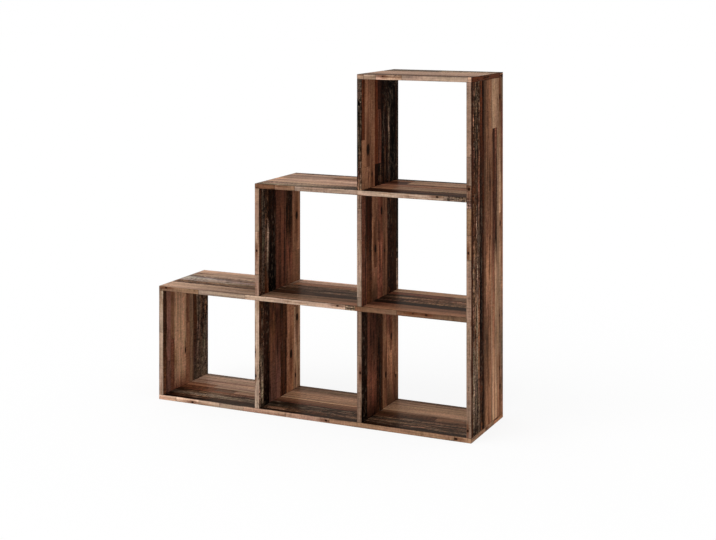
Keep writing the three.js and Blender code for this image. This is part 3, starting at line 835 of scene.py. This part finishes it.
# each attribute's type, field and count of numbers
kinds = {
    **dict.fromkeys(("tone", "second", "frontTone", "backTone", "seam"), ("FLOAT_COLOR", "color", 4)),
    **dict.fromkeys(("grain", "place", "knot"), ("FLOAT_VECTOR", "vector", 3)),
    **dict.fromkeys(("age", "lacquer", "contrast"), ("FLOAT", "value", 1)),
}


def joinPaint(paints):
    return {key: np.concatenate([p[key].reshape(-1, kinds[key][2]) for p in paints]) for key in kinds}


def quadsOf(grid):
    # the grid's cells: (i, j), (i, j + 1), (i + 1, j + 1), (i + 1, j)
    return np.stack([grid[:-1, :-1], grid[:-1, 1:], grid[1:, 1:], grid[1:, :-1]], -1).reshape(-1, 4)


def makePiece(name, points, polygons, material, paint=None, smooth=None):
    mesh = bpy.data.meshes.new(name)
    mesh.from_pydata(points.tolist(), [], [list(p) for p in polygons])
    for key, values in (paint or {}).items():
        kind, field, _ = kinds[key]
        data = mesh.attributes.new(key, kind, "CORNER").data
        data.foreach_set(field, values.astype(np.float32).ravel())
    if smooth:
        mesh.polygons.foreach_set("use_smooth", np.ones(len(mesh.polygons), bool))
        mesh.set_sharp_from_angle(angle=math.radians(smooth))
    mesh.materials.append(material)
    mesh.update()
    piece = putInScene(name, mesh)
    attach(piece, "root")
    return piece


def makeBoard(name, low, high, upright, seed):
    # a closed slab between two grids whose lines run where planks of either face end: point (k, i, j) lies at
    # (along[i], across[j], k times the thickness) from the low corner; the hidden face has k = 0
    rng = np.random.default_rng(seed)
    size = high - low
    axes = (2, 1, 0) if upright else (0, 1, 2)  # length, depth, thickness
    length, depth = size[axes[0]], size[axes[1]]
    hidden = makeUpFace(rng, depth)
    planks = [layPlanks(*face, length, depth, rng) for face in (hidden, faces[name])]
    along, across = (np.unique(np.round(np.concatenate([p[:, columns].ravel() for p in planks]), 6))
                     for columns in ((lowAt, highAt, startAt, stopAt), (frontAt, backAt)))
    along[-1], across[-1] = length, depth
    points = np.zeros((2, len(along), len(across), 3))
    points[..., axes[0]] = low[axes[0]] + along[:, None]
    points[..., axes[1]] = low[axes[1]] + across
    points[0, ..., axes[2]], points[1, ..., axes[2]] = low[axes[2]], high[axes[2]]
    number = np.arange(points.size // 3).reshape(points.shape[:3])
    places = np.stack([np.stack(np.meshgrid(along, across, indexing="ij"), -1)] * 2).reshape(-1, 2)

    under, over = number
    sides = [quadsOf(under), quadsOf(over.T)] + [quadsOf(np.stack(pair)) for pair in (
        (under[:, 0], over[:, 0]), (over[:, -1], under[:, -1]), (over[0], under[0]), (under[-1], over[-1]))]
    if upright:  # its three axes are left-handed
        sides = [side[:, ::-1] for side in sides]
    looks = {} if upright else {
        "lacquer": boards["lacquer"][name], "stretch": boards["stretch"], "contrast": boards["contrast"]}
    hiddenPaint = paintCorners(places[sides[0]], planks[0], seed + seeds["hiddenFace"], **looks)
    shownPaint = [paintCorners(places[side], planks[1], seed, **looks) for side in sides[1:]]
    piece = makePiece(name + "_planks", points.reshape(-1, 3), np.concatenate(sides), plankMaterial,
                      joinPaint([hiddenPaint, *shownPaint]))
    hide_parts(name)


def edgingProfile():
    # (across the strip, outwards): a flat inner side, and at each outer corner centre + radius (cos t, sin t)
    half, thick, radius = boards["thickness"] / 2, boards["edging"], boards["edgingRound"]
    turn = np.linspace(0, math.pi / 2, boards["roundSteps"] + 1)
    right = np.stack([half - radius + radius * np.cos(turn), thick - radius + radius * np.sin(turn)], 1)
    left = right[::-1] * (-1, 1)
    return np.concatenate([[(-half, 0), (half, 0)], right, left])


def makeEdging(name, start, stop, middle, outward, axes, layout, seed):
    # the profile carried along axis axes[0], its width along axes[1]: point (i, j) is start + along[i] on the
    # length and middle + profile[j] beside it. The two end rings are smaller by the chamfer
    rng = np.random.default_rng(seed)
    length, width = stop - start, boards["thickness"]
    pieces, knots = layout
    planks = layPlanks([(1.0, boards["sound"], *pieces)], knots, length, width, rng)
    cuts = np.unique(np.round(planks[:, (lowAt, highAt, startAt, stopAt)].ravel(), 6))
    chamfer = boards["edgingChamfer"]
    along = np.concatenate([[0, chamfer], cuts[1:-1], [length - chamfer, length]])
    profile = edgingProfile()
    shape = np.repeat(profile[None], len(along), 0)
    inward = profile - (0, boards["edging"] / 2)
    shape[[0, -1]] = profile - np.sign(inward) * chamfer
    points = np.zeros((*shape.shape[:2], 3))
    direction, outAxis = outward
    points[..., axes[0]] = start + along[:, None]
    points[..., axes[1]] = middle[0] + shape[..., 0]
    points[..., outAxis] = middle[1] + direction * shape[..., 1]
    number = np.arange(points.size // 3).reshape(points.shape[:2])
    quads = quadsOf(np.column_stack([number, number[:, 0]]))
    caps = [number[0, ::-1], number[-1]]
    basis = np.zeros((3, 3))
    basis[0, axes[0]], basis[1, axes[1]], basis[2, outAxis] = 1, 1, direction
    if np.linalg.det(basis) < 0:
        quads, caps = quads[:, ::-1], [cap[::-1] for cap in caps]
    places = np.stack([np.broadcast_to(along[:, None], shape.shape[:2]), shape[..., 0] + width / 2], -1)
    places = places.reshape(-1, 2)
    paint = joinPaint([paintCorners(places[quads], planks, seed, rim=boards["edgingRim"])]
                      + [paintCorners(places[cap][None], planks, seed) for cap in caps])
    makePiece(name, points.reshape(-1, 3), list(quads) + caps, plankMaterial, paint, boards["smoothBelow"])


for index, name in enumerate(faces):
    upright, edging = name in uprights, boards["edging"]
    left, right = bareEnds.get(name, (0, 0))
    boxLow, boxHigh = (np.array(corner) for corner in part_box(name))
    low = boxLow + (left * edging, edging, 0)
    high = boxHigh - (right * edging, edging, 0)
    makeBoard(name, low, high, upright, seeds["board"] + index)
    rng = np.random.default_rng(seeds["madeUp"] + index)
    axes = (2, 0) if upright else (0, 2)
    centre = ((boxLow + boxHigh) / 2)[axes[1]]
    across = (boxLow[axes[0]], boxHigh[axes[0]], axes)
    inDepth = (low[1], high[1], (1, 2))
    for side, bare, direction, outAxis, out, (start, stop, run) in (
            ("front", 1, -1, 1, low[1], across), ("back", 1, 1, 1, high[1], across),
            ("left", left, -1, 0, low[0], inDepth), ("right", right, 1, 0, high[0], inDepth)):
        if bare:
            layout = edges.get(f"{name}_{side}") or makeUpEdge(rng)
            first, step = seeds[side]
            makeEdging(f"{name}_{side}_edging", start, stop, (centre, out), (direction, outAxis), run, layout,
                       first + step * index)
print("boards and edging made")

# finishes of the small parts: a fine and a broad noise, with features to the metre and detail
plainFinishes = {
    "brownCap": {
        "fine": ((900, 900, 900), 3), "broad": ((60, 60, 60), 2),
        "colours": (((104, 72, 52), 0.8), ((104, 72, 52), 1.2)),
        "swing": 0.3, "metallic": 0.0, "roughness": (0.35, 0.15), "relief": (0.4, 0.0001)},
    "brightZinc": {
        "fine": ((700, 700, 700), 4), "broad": ((120, 120, 120), 2),
        "colours": (((150, 152, 156), 1), ((192, 194, 198), 1)),
        "metallic": 1.0, "roughness": (0.28, 0.25), "relief": (0.3, 0.0001)},
    "beechRod": {
        "fine": ((900, 900, 90), 3), "broad": ((260, 260, 14), 2),
        "colours": (((205, 165, 125), 1), ((184, 140, 100), 1)),
        "flecks": (0.6, 0.58, 0.7, (140, 98, 66)),  # how strong, the readings where they begin, colour
        "metallic": 0.0, "roughness": (0.5, 0.2), "relief": (0.3, 0.0001)},
}


def makePlainFinish(name):
    look = plainFinishes[name]
    material, nodes = newFinish(name)
    place = nodes.add("TexCoord", None, "Object")
    fine, broad = (nodes.noise(nodes.multiply(place, scales), detail)
                   for scales, detail in (look["fine"], look["broad"]))
    colour = nodes.mix(broad, *(tint(*colour) for colour in look["colours"]))
    if "swing" in look:
        colour = nodes.scale(colour, fine * look["swing"] + (1 - look["swing"] / 2))
    if "flecks" in look:
        strength, low, high, fleckColour = look["flecks"]
        colour = nodes.mix(nodes.rise(fine, low, high) * strength, colour, tint(fleckColour))
    roughness, swing = look["roughness"]
    nodes.show(nodes.add("BsdfPrincipled", {
        "Base Color": colour, "Metallic": look["metallic"], "Roughness": fine * swing + roughness,
        "Normal": nodes.relief(fine, *look["relief"])}))
    return material


# cover caps over the cams
coverCaps = {
    "radius": 0.0087,
    "rise": 0.0009,
    "segments": 40,
    "climbSteps": 6,
    "shrink": 0.06,  # of the radius, on the way up the rim
    "rim": (0.15, 0.7),  # shares of the rise: at the rim's foot, and what the rim adds
    "crown": ((0.72, 0.95), (0.3, 1.0)),  # shares of radius and rise of the two rings on top
    "setback": 0.024,  # from the board's end
    "inset": 0.050,  # from its front and back
    "smoothBelow": 50,
}


def makeCaps(name, spots, axis, material):
    # low domes: as c climbs to a quarter turn, a ring's radius is radius (1 - shrink sin c) and its height is
    # rise (foot + swell (1 - cos c)^0.5). The two rings of the crown close each dome
    look = coverCaps
    turn = np.linspace(0, 2 * math.pi, look["segments"], endpoint=False)
    climb = np.linspace(0, math.pi / 2, look["climbSteps"] + 1)[:-1]
    foot, swell = look["rim"]
    crown = np.array(look["crown"])
    radius = look["radius"] * np.concatenate([[1], 1 - look["shrink"] * np.sin(climb), crown[:, 0]])
    height = look["rise"] * np.concatenate([[0], foot + swell * (1 - np.cos(climb)) ** 0.5, crown[:, 1]])
    cap = np.zeros((len(radius), len(turn), 3))
    cap[..., (axis + 1) % 3] = radius[:, None] * np.cos(turn)
    cap[..., (axis + 2) % 3] = radius[:, None] * np.sin(turn)
    cap[..., axis] = -height[:, None]
    points, polygons = [], []
    for index, spot in enumerate(spots):
        number = (np.arange(cap.size // 3) + index * cap.size // 3).reshape(cap.shape[:2])
        quads = quadsOf(np.column_stack([number, number[:, 0]]))[:, ::-1]
        polygons += [*quads.tolist(), number[0].tolist(), number[-1, ::-1].tolist()]
        points.append(cap.reshape(-1, 3) + spot)
    makePiece(name, np.concatenate(points), polygons, material, smooth=look["smoothBelow"])


capMaterial = makePlainFinish("brownCap")
setback, inset = coverCaps["setback"], coverCaps["inset"]
for name in (*uprights, "lower_shelf", "upper_shelf"):
    low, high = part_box(name)
    depths = (low.y + inset, high.y - inset)
    if name in uprights:
        spots, axis = [(low.x, y, z) for y in depths for z in (low.z + setback, high.z - setback)], 0
    else:
        spots, axis = [(high.x - setback, y, low.z) for y in depths], 2
    makeCaps(name + "_caps", spots, axis, capMaterial)
print("cover caps made")

# the hidden fittings
zinc, beech = makePlainFinish("brightZinc"), makePlainFinish("beechRod")
for name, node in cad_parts.items():
    if name not in faces:
        for slot in node.material_slots:
            slot.material = beech if "dowel" in name else zinc
print("fittings finished")

low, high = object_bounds()
